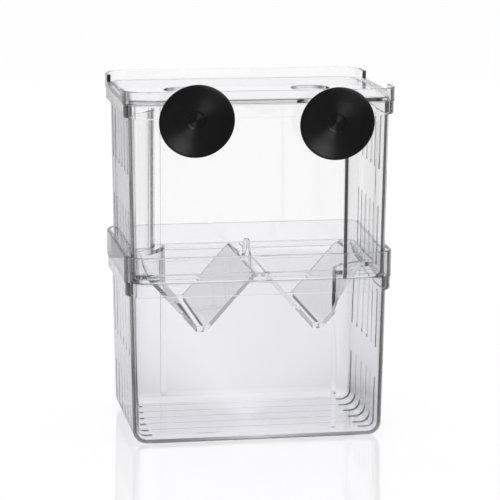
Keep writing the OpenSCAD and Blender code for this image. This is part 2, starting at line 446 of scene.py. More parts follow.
@dataclass(frozen=True)
class Plan:
    """The corner centres that both boxes are struck from, their rows of slots and their ribs.

    Attributes:
        half_x: Half the distance between the corner centres along X.
        half_y: Half the distance between the corner centres along Y.
        slot_reach: Reach of the slots' cutters.
        slot_margin: Distance along Y from the centres to the outermost slots.
        steps: Edges in each quarter turn round a centre.
    """

    half_x: float
    half_y: float
    slot_reach: float
    slot_width: float = 1.4 * MM
    slot_margin: float = 6.05 * MM
    slot_count: int = 6
    rib_place: float = 35.4 * MM
    steps: int = 14

    def sweep(self, name: str, corners: Sequence[Corner], closed: bool) -> Solid:
        """Carries an outline round the plan, its out being the reach from the centres.

        Args:
            name: Name of the new piece.
            corners: The outline. An open one starts and ends at reach 0.
            closed: Whether the outline is closed, as for a wall or a ring.

        Returns:
            The new piece, a closed shell in object mode.
        """
        pen = Pen(Vector((self.half_x, -self.half_y, 0)), -Y_AXIS, Z_AXIS)
        piece = pen.draw(name, corners, closed)
        bpy.ops.mesh.select_all(action="SELECT")
        for x, y, run in (
            (1, -1, Y_AXIS * 2 * self.half_y),
            (1, 1, -X_AXIS * 2 * self.half_x),
            (-1, 1, -Y_AXIS * 2 * self.half_y),
            (-1, -1, X_AXIS * 2 * self.half_x),
        ):
            centre = Vector((x * self.half_x, y * self.half_y, 0))
            bpy.ops.mesh.spin(steps=self.steps, angle=-math.pi / 2, center=centre, axis=Z_AXIS)
            extend(run)
        weld()
        if not closed:
            for height in (corners[0].up, corners[-1].up):
                self.fill_core(piece, height)
        close_mesh()
        return piece

    def fill_core(self, piece: Solid, height: float) -> None:
        """Closes the rectangle between the corner centres.

        Args:
            piece: The piece, which is in edit mode.
            height: Height of the rectangle.
        """

        def on_core(start: Vector, end: Vector) -> bool:
            """Says if an edge lies in the rectangle."""
            return all(
                abs(point.z - height) < WELD
                and abs(point.x) < self.half_x + WELD
                and abs(point.y) < self.half_y + WELD
                for point in (start, end)
            )

        pick(piece, on_core)
        bpy.ops.mesh.edge_face_add()

    @property
    def first_slot(self) -> float:
        """Where the middle of each row's first slot lies along Y."""
        return -self.half_y + self.slot_margin

    def in_row(self, cutter: Solid) -> Solid:
        """Copies the first slot's cutter to all the slots of its row.

        Args:
            cutter: The cutter of the first slot.

        Returns:
            The same cutter, now one for every slot.
        """
        pitch = -2 * self.first_slot / (self.slot_count - 1)
        enter_mesh(cutter)
        for _ in range(self.slot_count - 1):
            bpy.ops.mesh.duplicate_move(TRANSFORM_OT_translate={"value": Y_AXIS * pitch})
        leave_mesh()
        return cutter

    def slots(self, start: float, low: float, high: float) -> Solid:
        """Makes the cutters of one row of slots at both ends.

        Args:
            start: Where the slots start, outward along X.
            low: Height of their lower ends.
            high: Height of their upper ends.

        Returns:
            One mesh of separate blocks.
        """
        half = self.slot_width / 2
        near = Vector((start, self.first_slot - half, low))
        far = Vector((self.half_x + self.slot_reach, self.first_slot + half, high))
        return half_turned(self.in_row(block("slot", near, far)))


# ---- finishes


class Recipe:
    """A material that is put together node by node."""

    def __init__(self, name: str) -> None:
        """Starts a material with no nodes.

        Args:
            name: Its name.
        """
        self.material = bpy.data.materials.new(name)
        self.material.use_nodes = True
        self.material.node_tree.nodes.clear()

    def add(
        self, kind: str, output: str, feeds: dict[str | int, object] | None = None, **traits: str
    ) -> Socket:
        """Adds a node and feeds its inputs.

        Args:
            kind: Its kind, such as "TexNoise".
            output: Name of the output that is wanted from it.
            feeds: For an input's name or number, its value or the output wired to it.
            traits: The node's own settings, such as the operation of a Math node.

        Returns:
            The wanted output.
        """
        tree = self.material.node_tree
        node = tree.nodes.new(f"ShaderNode{kind}")
        for trait, choice in traits.items():
            setattr(node, trait, choice)
        for name, feed in (feeds or {}).items():
            if isinstance(feed, Socket):
                tree.links.new(feed, node.inputs[name])
            else:
                node.inputs[name].default_value = feed
        return node.outputs[output]

    def noise(self, scale: float, detail: float = 2.0) -> Socket:
        """Adds noise that stays in place on the piece, and returns its strength."""
        place = self.add("TexCoord", "Object")
        return self.add("TexNoise", "Fac", {"Vector": place, "Scale": scale, "Detail": detail})

    def spread(self, source: Socket, ends: Pair) -> Socket:
        """Spreads a strength between two values, and returns the result."""
        feeds = {"Value": source, "To Min": ends[0], "To Max": ends[1]}
        return self.add("MapRange", "Result", feeds)

    def blend(self, source: Socket, first: Triple, second: Triple) -> Socket:
        """Mixes two colours by a strength, and returns the result."""
        feeds = {"Factor": source, "A": (*first, 1), "B": (*second, 1)}
        return self.add("Mix", "Result", feeds, data_type="RGBA")

    def bump(self, height: Socket, strength: float, distance: float) -> Socket:
        """Raises the skin by a strength, and returns its normal."""
        feeds = {"Height": height, "Strength": strength, "Distance": distance}
        return self.add("Bump", "Normal", feeds)

    def finish(self, surface: Socket, volume: Socket | None = None) -> Material:
        """Wires the shaders to the material's output.

        Args:
            surface: The shader of its skin.
            volume: The shader of its inside, if it has one.

        Returns:
            The finished material.
        """
        tree = self.material.node_tree
        output = tree.nodes.new("ShaderNodeOutputMaterial")
        tree.links.new(surface, output.inputs["Surface"])
        if volume is not None:
            tree.links.new(volume, output.inputs["Volume"])
        return self.material


@dataclass(frozen=True)
class ClearPlastic:
    """Clear moulded plastic with faint flow waves and a fine haze.

    Light takes on the tint at the skin, and inside it the depth tint, as fast as the density
    says. Where the plastic would cast a shadow, it passes the shade. The haze is the lowest and
    highest roughness, its grain a scale and a detail, and the flow is the scale of the waves.
    """

    name: str
    tint: Triple
    density: float
    shade: float = 0.97
    depth_tint: Triple = (0.5, 0.512, 0.54)
    index: float = 1.49
    haze: Pair = (0.004, 0.02)
    haze_grain: Pair = (900.0, 4.0)
    flow: float = 55.0
    wave: float = 0.02
    wave_depth: float = 0.5 * MM

    def make(self) -> Material:
        """Builds the material.

        Returns:
            The finished material.
        """
        recipe = Recipe(self.name)
        waves = recipe.noise(self.flow)
        pale = tuple(0.5 + value / 2 for value in self.tint)
        body = recipe.add("BsdfPrincipled", "BSDF", {
            "Base Color": recipe.blend(waves, self.tint, pale),
            "Roughness": recipe.spread(recipe.noise(*self.haze_grain), self.haze),
            "IOR": self.index,
            "Transmission Weight": 1.0,
            "Normal": recipe.bump(waves, self.wave, self.wave_depth),
        })
        shade = (self.shade, self.shade, self.shade, 1)
        cast = recipe.add("BsdfTransparent", "BSDF", {"Color": shade})
        in_shade = recipe.add("LightPath", "Is Shadow Ray")
        skin = recipe.add("MixShader", "Shader", {"Fac": in_shade, 1: body, 2: cast})
        feeds = {"Color": (*self.depth_tint, 1), "Density": self.density}
        return recipe.finish(skin, recipe.add("VolumeAbsorption", "Volume", feeds))


@dataclass(frozen=True)
class BlackRubber:
    """Glossy black rubber with a faint bloom, fine grain and turned grooves from its mould.

    The shine is how much of a polished skin's mirror light it gives back. The grooves stretch
    a highlight by a strength, towards a turn in full turns.
    """

    name: str = "black_rubber_skin"
    dark: Triple = (0.0008, 0.0008, 0.0009)
    light: Triple = (0.002, 0.002, 0.0022)
    bloom: Pair = (140.0, 6.0)
    gloss: Pair = (0.46, 0.54)
    grain: float = 2500.0
    grain_strength: float = 0.04
    grain_depth: float = 0.05 * MM
    shine: float = 0.11
    grooves: float = 0.92
    groove_turn: float = 0.25

    def make(self) -> Material:
        """Builds the material.

        Returns:
            The finished material.
        """
        recipe = Recipe(self.name)
        bloom, grain = recipe.noise(*self.bloom), recipe.noise(self.grain)
        return recipe.finish(recipe.add("BsdfPrincipled", "BSDF", {
            "Base Color": recipe.blend(bloom, self.dark, self.light),
            "Roughness": recipe.spread(bloom, self.gloss),
            "Normal": recipe.bump(grain, self.grain_strength, self.grain_depth),
            "Tangent": recipe.add("Tangent", "Tangent", direction_type="RADIAL", axis="Y"),
            "Anisotropic": self.grooves,
            "Anisotropic Rotation": self.groove_turn,
            "Specular IOR Level": self.shine,
        }))


@dataclass(frozen=True)
class PaleFloor:
    """The studio floor's pale coat, with a soft sheen."""

    name: str = "pale_floor"
    tone: Triple = (0.915, 0.905, 0.915)
    cloud: float = 3.0
    gloss: Pair = (0.04, 0.06)
    shine: float = 0.3

    def make(self) -> Material:
        """Builds the material.

        Returns:
            The finished material.
        """
        recipe = Recipe(self.name)
        return recipe.finish(recipe.add("BsdfPrincipled", "BSDF", {
            "Base Color": (*self.tone, 1),
            "Roughness": recipe.spread(recipe.noise(self.cloud), self.gloss),
            "Specular IOR Level": self.shine,
        }))


@dataclass(frozen=True)
class MirroredGlow:
    """A glow that only mirrored light meets, graded by its bearing from the box.

    Attributes:
        tones: Pairs of a bearing from +X, in degrees from -180 to 180, and a tone.
        inside: Whether only light that has been inside the plastic meets it.
        violet: How much more blue than red and green it gives.
    """

    name: str
    tones: Pairs
    inside: bool = True
    violet: float = 1.02

    def make(self) -> Material:
        """Builds the material.

        Returns:
            The finished material.
        """
        recipe = Recipe(self.name)
        place = recipe.add("TexCoord", "Object")
        bearing = recipe.add("TexGradient", "Fac", {"Vector": place}, gradient_type="RADIAL")
        colour = recipe.add("ValToRGB", "Color", {"Fac": bearing})
        stops = colour.node.color_ramp.elements
        stops.remove(stops[1])
        for index, (angle, tone) in enumerate(self.tones):
            turn = angle / 360 + 0.5
            stop = stops.new(turn) if index else stops[0]
            stop.position = turn
            stop.color = (tone, tone, tone * self.violet, 1)
        tests = {"Glossy Depth": "GREATER_THAN", "Diffuse Depth": "LESS_THAN"}
        if self.inside:
            tests["Transmission Depth"] = "GREATER_THAN"
        met = 1.0
        for depth, operation in tests.items():
            bounces = recipe.add("LightPath", depth)
            passed = recipe.add("Math", "Value", {0: bounces, 1: 0.5}, operation=operation)
            met = recipe.add("Math", "Value", {0: met, 1: passed}, operation="MULTIPLY")
        open_way = recipe.add("BsdfTransparent", "BSDF")
        glow = recipe.add("Emission", "Emission", {"Color": colour})
        return recipe.finish(recipe.add("MixShader", "Shader", {"Fac": met, 1: open_way, 2: glow}))


NURSERY_CLEAR = ClearPlastic("clear_nursery", (0.97, 0.972, 0.988), density=22.0)
SPAWNING_CLEAR = ClearPlastic("clear_spawning", (0.999, 0.999, 0.999), density=9.0, shade=0.99)
INSERT_CLEAR = ClearPlastic("clear_insert_plastic", (0.999, 0.999, 0.999), density=3.0)
LID_CLEAR = ClearPlastic("clear_lid_plastic", (0.83, 0.825, 0.838), density=4.0)


# ---- the clear mouldings


@dataclass(kw_only=True)
class Moulding:
    """A moulded piece, which is modelled, shaded and dressed in that order.

    Attributes:
        node: The node that it stands for, whose body has the same name.
        slot: The record's material slot for it, which is not used.
        sharp: Edges sharper than this, in degrees, stay sharp.
    """

    node: str
    slot: str
    sharp: float = 40.0

    def model(self) -> Solid:
        """Returns the bare solid, which each moulding models in its own way."""
        raise NotImplementedError

    def build(self, finish: Material) -> Solid:
        """Models the piece and dresses it.

        Args:
            finish: The material that it is made of.

        Returns:
            The finished piece.
        """
        piece = self.model()
        smooth(piece, self.sharp)
        piece.data.materials.clear()
        piece.data.materials.append(finish)
        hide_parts(self.node)
        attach(piece, self.node)
        LOG.info("%s: %d faces", piece.name, len(piece.data.polygons))
        return piece


@dataclass(kw_only=True)
class Tier(Moulding):
    """What both boxes share: a collar in two steps, with a seat in it, and upright ribs.

    The collar stands an overhang out over the wall, and a band step out over its own lower
    band, whose top lies a band drop under the seat.
    """

    plan: Plan
    seat: float
    top: float
    collar_reach: float
    overhang: float
    band_step: float = 0.5 * MM
    band_height: float = 6.1 * MM
    band_drop: float = 0.3 * MM
    wall: float = 1.8 * MM
    edge_round: float = 0.4 * MM
    rib_width: float = 2.5 * MM
    rib_depth: float = 0.8 * MM
    rib_turn: float = 0.2 * MM

    @property
    def band_reach(self) -> float:
        """Reach of the collar's lower band."""
        return self.collar_reach - self.band_step

    @property
    def wall_reach(self) -> float:
        """Reach of the wall under the collar."""
        return self.collar_reach - self.overhang

    @property
    def band_low(self) -> float:
        """Height of the lower edge of the collar's band."""
        return self.seat - self.band_drop - self.band_height

    def collar(self) -> list[Corner]:
        """Draws the upper end of the wall, with its band, collar, rim and seat.

        Returns:
            The corners, from the outer face of the wall round to its inner face.
        """
        turn, small = self.edge_round, self.edge_round / 2
        step = self.seat - self.band_drop
        inner_collar = self.collar_reach - self.wall
        inner_wall = self.wall_reach - self.wall
        return [
            Corner(self.wall_reach, self.band_low, turn),
            Corner(self.band_reach, self.band_low, turn),
            Corner(self.band_reach, step, small),
            Corner(self.collar_reach, step, small),
            Corner(self.collar_reach, self.top, turn),
            Corner(inner_collar, self.top, turn),
            Corner(inner_collar, self.seat, small),
            Corner(inner_wall, self.seat, small),
            Corner(inner_wall, self.band_low),
        ]

    def rib(self, side: int, corners: Sequence[Corner], turn: float) -> Solid:
        """Makes an upright rib of the front or back wall.

        Args:
            side: -1 for the front right rib, 1 for the back left one.
            corners: Its section, its out being the reach from the corner centres.
            turn: Rounding of its edges.

        Returns:
            The rib.
        """
        left = -side * self.plan.rib_place - self.rib_width / 2
        start = Vector((left, side * self.plan.half_y, 0))
        rib = prism("rib", Pen(start, Y_AXIS * side, Z_AXIS), corners, X_AXIS * self.rib_width)
        return soften_rib(rib, turn)


@dataclass(kw_only=True)
class LowerBox(Tier):
    """The nursery box that the fry grow in.

    The corner reach is that of the leaning wall where the bottom edge's round ends. The floor
    slots are given by their start along X and the heights of their ends.
    """

    node: str = "lower_box"
    slot: str = "clear_lower_box"
    collar_reach: float = 10.75 * MM
    overhang: float = 2.45 * MM
    corner_reach: float = 7 * MM
    floor: float = 1.8 * MM
    bottom_round: float = 6.5 * MM
    bottom_steps: int = 8
    low_rib: float = 0.12 * MM
    rib_foot: float = 3.9 * MM
    floor_slots: Triple = (50 * MM, -1.8 * MM, 27 * MM)
    high_slots: Pair = (41.5 * MM, 70.1 * MM)
    groove_radius: float = 4 * MM
    groove_depth: float = 0.05 * MM
    groove_end: float = 49 * MM

    @property
    def foot_reach(self) -> float:
        """Reach that the leaning wall would have at the floor's plane."""
        lean = (self.wall_reach - self.corner_reach) / (self.band_low - self.bottom_round)
        return self.corner_reach - lean * self.bottom_round

    def back_rib(self) -> Solid:
        """Makes the upright rib of the back wall, rooted in the wall.

        Returns:
            The rib.
        """
        middle, steps = self.wall / 2, self.bottom_steps
        root = self.plan.sweep("root", [
            Corner(0, middle),
            Corner(self.foot_reach - middle, middle, self.bottom_round - middle, steps),
            Corner(self.wall_reach - middle, self.band_low + middle),
            Corner(0, self.band_low + middle),
        ], closed=False)
        face = self.plan.half_y + self.corner_reach - self.wall - self.rib_depth
        low = Vector((-self.plan.rib_place - self.rib_width / 2, face, 0))
        far = self.plan.half_y + self.collar_reach
        rib = block("rib", low, Vector((low.x + self.rib_width, far, self.seat)))
        soften_rib(rib, self.rib_turn)
        combine(rib, Join.KEEP, root)
        return rib

    def front_rib(self) -> Solid:
        """Makes the low rounded rib of the front wall, which leans as the wall does.

        Returns:
            The rib.
        """
        proud, middle = self.wall + self.low_rib, self.wall / 2
        return self.rib(-1, [
            Corner(self.foot_reach - proud, self.rib_foot),
            Corner(self.foot_reach - middle, self.rib_foot),
            Corner(self.wall_reach - middle, self.band_low),
            Corner(self.wall_reach - proud, self.band_low),
        ], self.low_rib)

    def grooves(self) -> Solid:
        """Makes the cutters of the faint grooves that join the slots across the floor.

        Returns:
            One mesh of round bars.
        """
        height = self.floor + self.groove_radius - self.groove_depth
        middle = Vector((0, self.plan.first_slot, height))
        bar = drum("groove", middle, X_AXIS, self.groove_radius, 2 * self.groove_end)
        return self.plan.in_row(bar)

    def model(self) -> Solid:
        """Sweeps the floor and walls, and adds the ribs, grooves and slots.

        Returns:
            The bare box.
        """
        inner_round, steps = self.bottom_round - self.wall, self.bottom_steps
        piece = self.plan.sweep("nursery_box", [
            Corner(0, 0),
            Corner(self.foot_reach, 0, self.bottom_round, steps),
            *self.collar(),
            Corner(self.foot_reach - self.wall, self.floor, inner_round, steps),
            Corner(0, self.floor),
        ], closed=False)
        combine(piece, Join.CUT, self.grooves())
        combine(piece, Join.ADD, self.back_rib(), self.front_rib())
        low_row = self.plan.slots(*self.floor_slots)
        combine(piece, Join.CUT, low_row, self.plan.slots(self.plan.half_x, *self.high_slots))
        return piece


@dataclass(kw_only=True)
class UpperBox(Tier):
    """The spawning box, with two feed shafts, a lip for the insert and two cup pads."""

    node: str = "upper_box"
    slot: str = "clear_upper_box"
    collar_reach: float = 11.25 * MM
    overhang: float = 2.7 * MM
    foot: float
    foot_reach: float = 7.4 * MM
    lip_reach: float = 3.6 * MM
    lip_thickness: float = 1.5 * MM
    rim_cut_depth: float = 3.7 * MM
    rim_cut_half: float = 27 * MM
    shaft_radius: float = 19 * MM
    shaft_wall: float = 1.6 * MM
    shaft_height: float = 71.5 * MM
    shaft_root: float = 1.5 * MM
    shaft_steps: int = 26
    rib_top: float = 150.9 * MM
    slot_rows: Pairs = ((82 * MM, 110.4 * MM), (128 * MM, 153.8 * MM))
    cup_place: float = 32.6 * MM
    cup_height: float = 156.2 * MM
    cup_hole: float = 3.6 * MM
    cup_pad: float = 7.5 * MM
    pad_inset: float = 0.05 * MM

    @property
    def inner_reach(self) -> float:
        """Reach of the inner face of the wall at the foot."""
        return self.foot_reach - self.wall

    def shafts(self) -> Solid:
        """Makes the quarter-round wall of the front right feed shaft and its twin.

        Returns:
            One mesh of both walls.
        """
        corner = Vector((
            self.plan.half_x + self.inner_reach, -self.plan.half_y - self.inner_reach, self.foot
        ))
        dip = math.asin(self.shaft_root / self.shaft_radius)
        start = Vector((-math.cos(dip), -math.sin(dip), 0))
        inner = self.shaft_radius - self.shaft_wall
        piece = Pen(corner, start, Z_AXIS).draw("shaft", [
            Corner(inner, 0),
            Corner(self.shaft_radius, 0),
            Corner(self.shaft_radius, self.shaft_height, self.edge_round),
            Corner(inner, self.shaft_height, self.edge_round),
        ], closed=True)
        weld()
        bpy.ops.mesh.edge_face_add()
        turn = math.pi / 2 + 2 * dip
        bpy.ops.mesh.spin(steps=self.shaft_steps, angle=turn, center=corner, axis=Z_AXIS)
        close_mesh()
        return half_turned(piece)

    def back_rib(self) -> Solid:
        """Makes the upright rib of the back wall, rooted in the wall.

        Returns:
            The rib.
        """
        middle = self.wall / 2
        face = self.inner_reach - self.rib_depth
        rise = (self.wall_reach - self.foot_reach) / (self.seat - self.foot)
        root_top = self.foot_reach - middle + rise * (self.rib_top - self.foot)
        return self.rib(1, [
            Corner(face, self.foot + middle),
            Corner(self.foot_reach - middle, self.foot + middle),
            Corner(root_top, self.rib_top),
            Corner(face, self.rib_top),
        ], self.rib_turn)

    def add_pads(self, piece: Solid) -> None:
        """Adds the two cup pads to the front wall and cuts the cup holes through them.

        Args:
            piece: The box.
        """
        face = self.plan.half_y + self.band_reach - self.pad_inset
        back = self.plan.half_y + self.wall_reach - self.wall / 2
        depth = face - back
        step = self.seat - self.band_drop - self.edge_round
        for side in SIDES:
            middle = Vector((side * self.cup_place, -(face + back) / 2, self.cup_height))
            pad = drum("pad", middle, Y_AXIS, self.cup_pad, depth)
            low = Vector((middle.x - self.cup_pad, middle.y - depth, step))
            high = low + 2 * Vector((self.cup_pad, depth, self.cup_pad))
            combine(pad, Join.CUT, block("above", low, high))
            combine(piece, Join.ADD, pad)
            combine(piece, Join.CUT, drum("hole", middle, Y_AXIS, self.cup_hole, depth * 4))

    def rim_cuts(self) -> Solid:
        """Makes the cutters that lower the rim at both ends.

        Returns:
            One mesh of two blocks.
        """
        low = Vector((self.plan.half_x, -self.rim_cut_half, self.top - self.rim_cut_depth))
        size = Vector((self.collar_reach, self.rim_cut_half, self.rim_cut_depth)) * 2
        return half_turned(block("rim_cut", low, low + size))

    def model(self) -> Solid:
        """Sweeps the walls, and adds the shafts, the rib, the pads and the openings.

        Returns:
            The bare box.
        """
        small, lip_top = self.edge_round / 2, self.foot + self.lip_thickness
        piece = self.plan.sweep("spawning_box", [
            Corner(self.foot_reach, self.foot, small),
            *self.collar(),
            Corner(self.inner_reach, lip_top, small),
            Corner(self.lip_reach, lip_top, small),
            Corner(self.lip_reach, self.foot, small),
        ], closed=True)
        combine(piece, Join.ADD, self.shafts(), self.back_rib())
        self.add_pads(piece)
        rows = [self.plan.slots(self.plan.half_x, low, high) for low, high in self.slot_rows]
        combine(piece, Join.CUT, self.rim_cuts(), *rows)
        return piece


@dataclass(kw_only=True)
class Insert(Moulding):
    """The W-shaped insert, whose two V channels let the fry drop through.

    The wall extra is how far outside the half ridge a channel's mouth starts. The mouth's edge
    is broken to the edge break's depth and leans out by the break lean for each rise, and its
    cutter rises by that depth times the overshoot. The drop play widens a channel's inside past
    its drop slot, and the hair keeps two cuts from sharing a face. The pockets clear the feed
    shafts, the notches the ribs.
    """

    node: str = "insert"
    slot: str = "clear_insert"
    plan: Plan
    foot: float
    flange: float
    peg_top: float
    reach: float = 5.2 * MM
    bar_width: float = 2.7 * MM
    thickness: float = 2 * MM
    half_length: float = 37.5 * MM
    end_cut: float = 3.75 * MM
    wall_extra: float = 0.62 * MM
    edge_break: float = 0.5 * MM
    break_lean: float = 2.0
    overshoot: float = 2.5
    hair: float = 0.01 * MM
    edge_round: float = 0.3 * MM
    channel_place: float = 27.75 * MM
    channel_foot: float = 4.7 * MM
    valley_round: float = 0.8 * MM
    ridge_half: float = 2.2 * MM
    drop_slot: float = 3.1 * MM
    drop_length: float = 66 * MM
    drop_play: float = 0.05 * MM
    pocket_radius: float = 24 * MM
    pocket_wall: float = 1.6 * MM
    shaft_hole: float = 19.5 * MM
    shaft_corner: Pair = (58.6 * MM, -39.9 * MM)
    notch_width: float = 3.5 * MM
    notch_face: float = 38.6 * MM
    notch_over: float = 5 * MM
    peg_radius: float = 2.5 * MM
    peg_tip: float = 1.375 * MM
    peg_round: float = 1.225 * MM
    peg_steps: int = 40

    @property
    def top(self) -> float:
        """Height of the flat upper side."""
        return self.flange + self.thickness

    def channels(self) -> Solid:
        """Makes both channels as solid troughs, whose tops end inside the flat frame.

        Returns:
            One mesh of both troughs.
        """
        half, turn = self.channel_foot / 2, self.valley_round
        lean = (self.channel_place - half - self.ridge_half) / (self.flange - self.foot)
        near = self.ridge_half - lean * self.thickness / 2
        high = self.flange + self.thickness / 2
        pen = Pen(Vector((0, -self.half_length, 0)), X_AXIS, Z_AXIS)
        return half_turned(prism("channel", pen, [
            Corner(near, high),
            Corner(self.channel_place - half, self.foot, turn),
            Corner(self.channel_place + half, self.foot, turn),
            Corner(2 * self.channel_place - near, high),
        ], Y_AXIS * 2 * self.half_length))

    def hollows(self, half_run: float, through: bool) -> Solid:
        """Makes the cutters of both channels' insides, clear of the shaft pockets.

        Args:
            half_run: Half their length along Y.
            through: Whether they open through the top with broken edges. If not, they end
                under the flange, and are a hair smaller.

        Returns:
            One mesh of two cutters.
        """
        hair = 0.0 if through else self.hair
        centre = self.channel_place
        floor = self.drop_slot / 2 + self.drop_play - hair
        bottom = self.foot + self.thickness + hair
        near = self.ridge_half + self.wall_extra
        slope = (centre - floor - near) / (self.top - bottom)
        high = self.top - self.edge_break if through else self.flange - 2 * hair
        wall = near + (self.top - high) * slope + hair
        left = [Corner(wall, high), Corner(centre - floor, bottom)]
        if through:
            rise = self.overshoot * self.edge_break
            left.insert(0, Corner(wall - self.break_lean * rise, high + rise))
        right = [Corner(2 * centre - corner.out, corner.up) for corner in reversed(left)]
        pen = Pen(Vector((0, -half_run, 0)), X_AXIS, Z_AXIS)
        cutter = half_turned(prism("hollow", pen, left + right, Y_AXIS * 2 * half_run))
        combine(cutter, Join.CUT, self.bars(self.pocket_radius + hair, self.top * 2))
        return cutter

    def bars(self, radius: float, height: float) -> Solid:
        """Makes round bars about the axes of both feed shafts, from Z = 0 to a height."""
        centre = Vector((*self.shaft_corner, height / 2))
        return half_turned(drum("bar", centre, Z_AXIS, radius, height))

    def notches(self) -> Solid:
        """Makes the cutters that let the frame pass the ribs of the upper box.

        Returns:
            One mesh of two blocks.
        """
        half, over = self.notch_width / 2, self.notch_over
        low = Vector((-self.plan.rib_place - half, self.notch_face, self.flange - over))
        high = Vector((-self.plan.rib_place + half, self.notch_face + over, self.flange + over))
        return half_turned(block("notch", low, high))

    def drops(self) -> Solid:
        """Makes the cutters of both drop slots.

        Returns:
            One mesh of two blocks.
        """
        half = Vector((self.drop_slot / 2, self.drop_length / 2, self.thickness * 2))
        middle = Vector((self.channel_place, 0, self.foot))
        return half_turned(block("drop", middle - half, middle + half))

    def peg(self) -> Solid:
        """Makes the tapered lifting peg with its rounded top.

        Returns:
            The peg.
        """
        base = self.flange + self.thickness / 2
        height = self.peg_top - base
        return lathe("peg", Pen(Vector((0, 0, base)), X_AXIS, Z_AXIS), [
            Corner(0, 0),
            Corner(self.peg_radius, 0),
            Corner(self.peg_tip, height, self.peg_round, 6),
            Corner(0, height),
        ], self.peg_steps)

    def model(self) -> Solid:
        """Sweeps the frame, and adds the channels, their hollows and the peg.

        Returns:
            The bare insert.
        """
        frame_section = slab(self.reach, self.flange, self.top, self.edge_round, steps=2)
        piece = self.plan.sweep("channel_insert", frame_section, closed=False)
        combine(piece, Join.ADD, self.channels())
        inner = self.plan.half_y + self.reach - self.bar_width
        clear = self.pocket_radius - self.pocket_wall
        combine(
            piece, Join.CUT,
            self.hollows(inner, through=True),
            self.hollows(self.half_length + self.end_cut, through=False),
            self.bars(clear, self.flange - 2 * self.hair),
            self.bars(self.shaft_hole, self.top * 2),
            self.drops(),
            self.notches(),
        )
        combine(piece, Join.ADD, self.peg())
        return piece


@dataclass(kw_only=True)
class Lid(Moulding):
    """The flat lid with its two feeding holes."""

    node: str = "lid"
    slot: str = "clear_lid"
    plan: Plan
    seat: float
    top: float
    reach: float
    hole_radius: float = 9.25 * MM
    hole_place: float = 30.75 * MM
    hole_play: float = 0.05 * MM
    hole_cut: float = 10 * MM
    edge_round: float = 0.35 * MM

    def model(self) -> Solid:
        """Sweeps the plate, cuts the holes and rounds their rims.

        Returns:
            The bare lid.
        """
        plate = slab(self.reach, self.seat, self.top, self.edge_round)
        piece = self.plan.sweep("feeding_lid", plate, closed=False)
        for side in SIDES:
            centre = Vector((side * self.hole_place, 0, (self.seat + self.top) / 2))
            hole = drum("hole", centre, Z_AXIS, self.hole_radius, self.hole_cut)
            combine(piece, Join.CUT, hole)

        def on_rim(start: Vector, end: Vector) -> bool:
            """Says if an edge lies flat on the rim of a hole.

            Args:
                start: One end of the edge.
                end: Its other end.

            Returns:
                Whether it does.
            """
            spans = [math.hypot(abs(p.x) - self.hole_place, p.y) for p in (start, end)]
            level = abs(start.z - end.z) < WELD
            return level and all(abs(span - self.hole_radius) < self.hole_play for span in spans)

        round_edges(piece, on_rim, self.edge_round, segments=3)
        return piece


# ---- suction cups


